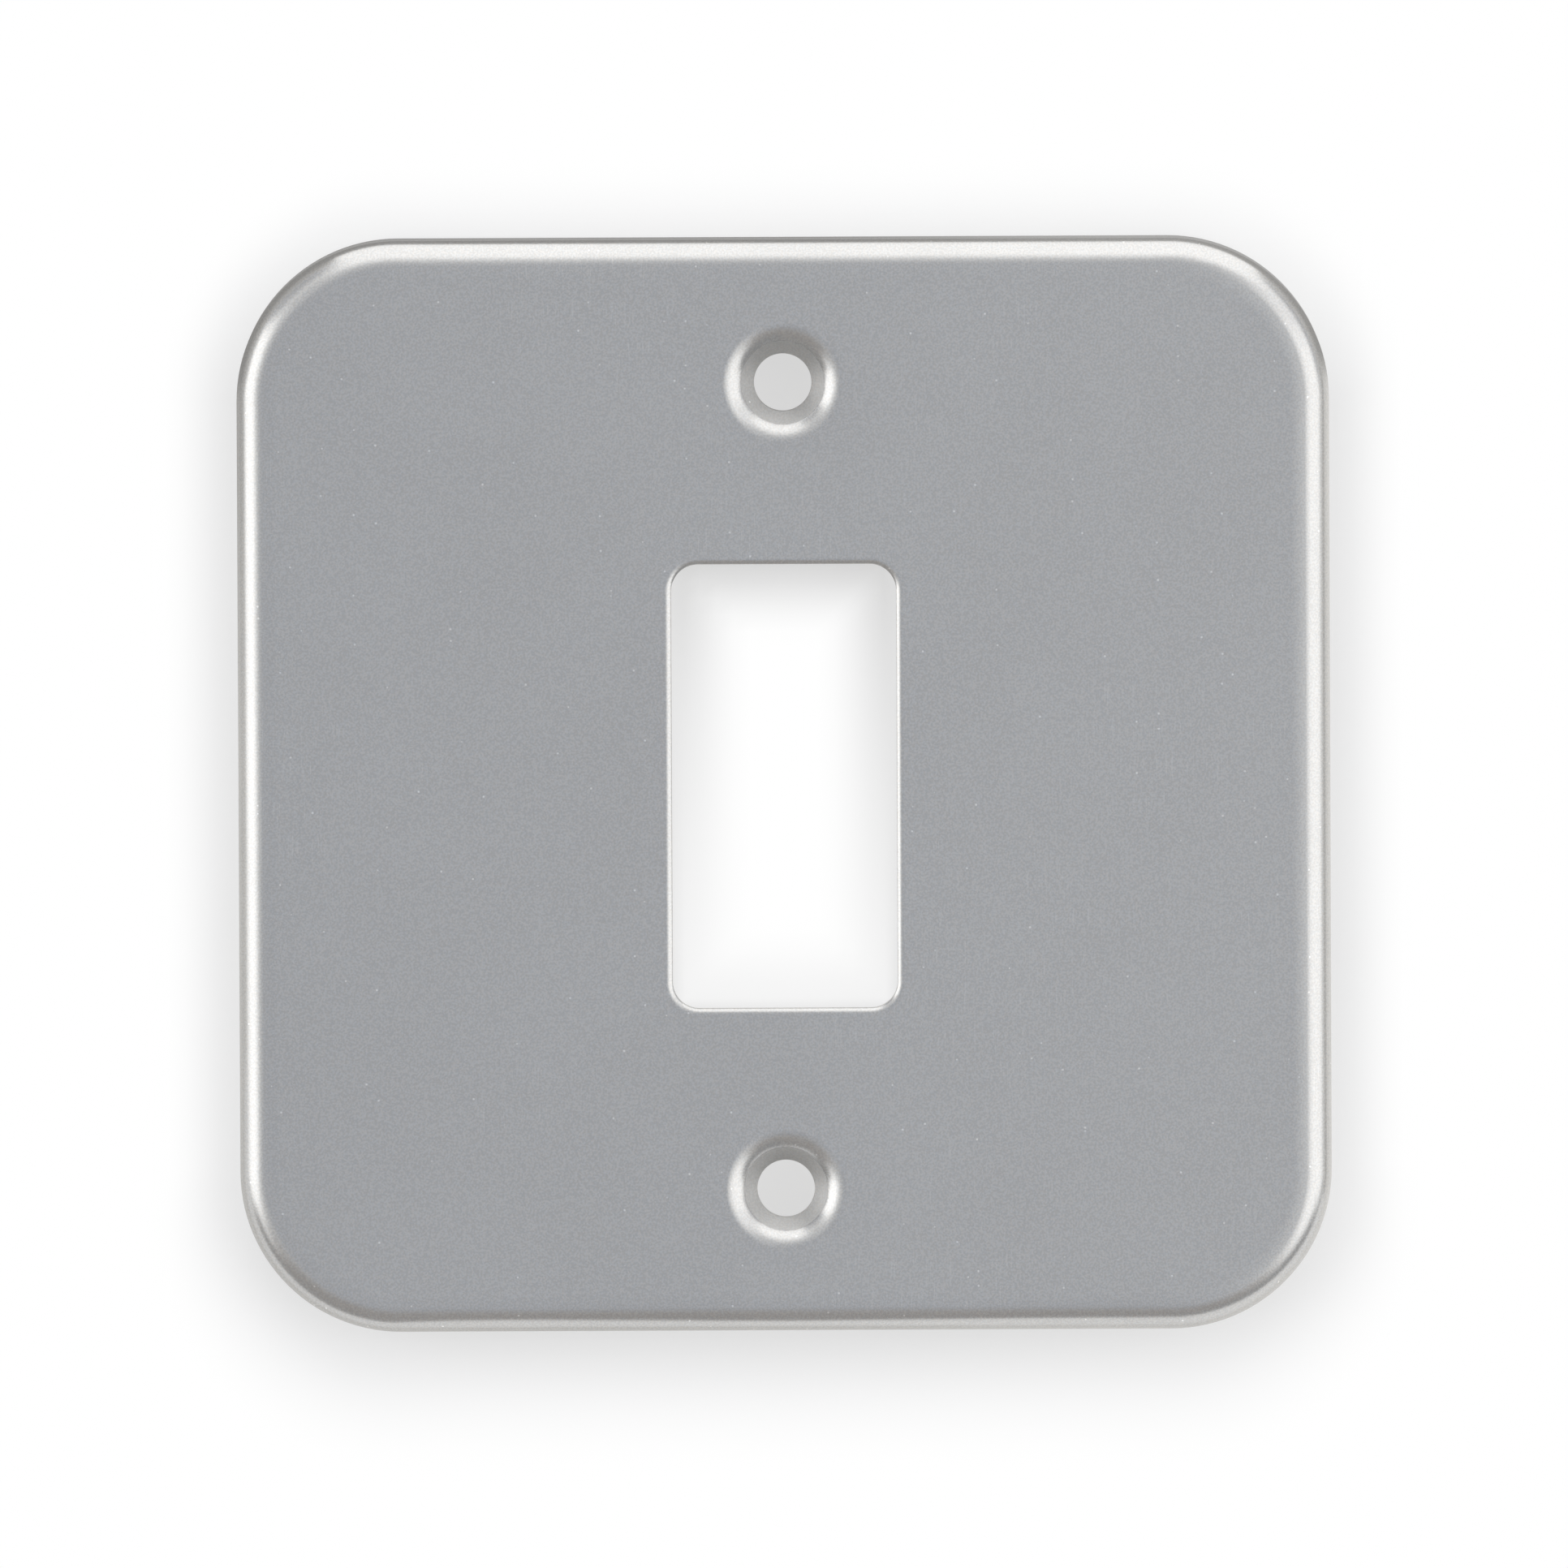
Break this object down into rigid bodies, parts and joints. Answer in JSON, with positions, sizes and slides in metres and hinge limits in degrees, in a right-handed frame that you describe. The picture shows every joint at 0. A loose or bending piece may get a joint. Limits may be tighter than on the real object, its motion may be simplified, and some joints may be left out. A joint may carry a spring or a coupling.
{
  "type": "grid switch plate",
  "caption": "Square pressed steel front plate with rounded corners, a folded skirt, a tall opening for a grid switch module and countersunk screw holes above and below it.",
  "frame": {"origin": "centre of the plane of the skirt's back rim, which the plate lies on", "axes": "+Z out of the front face, +Y towards the upper screw hole, +X to the right seen from the front"},
  "size_m": [0.0816, 0.0816, 0.008],
  "materials": {
    "satin_steel": "satin"
  },
  "bodies": {
    "root": {"grid_plate": "satin_steel"}
  },
  "joints": []
}
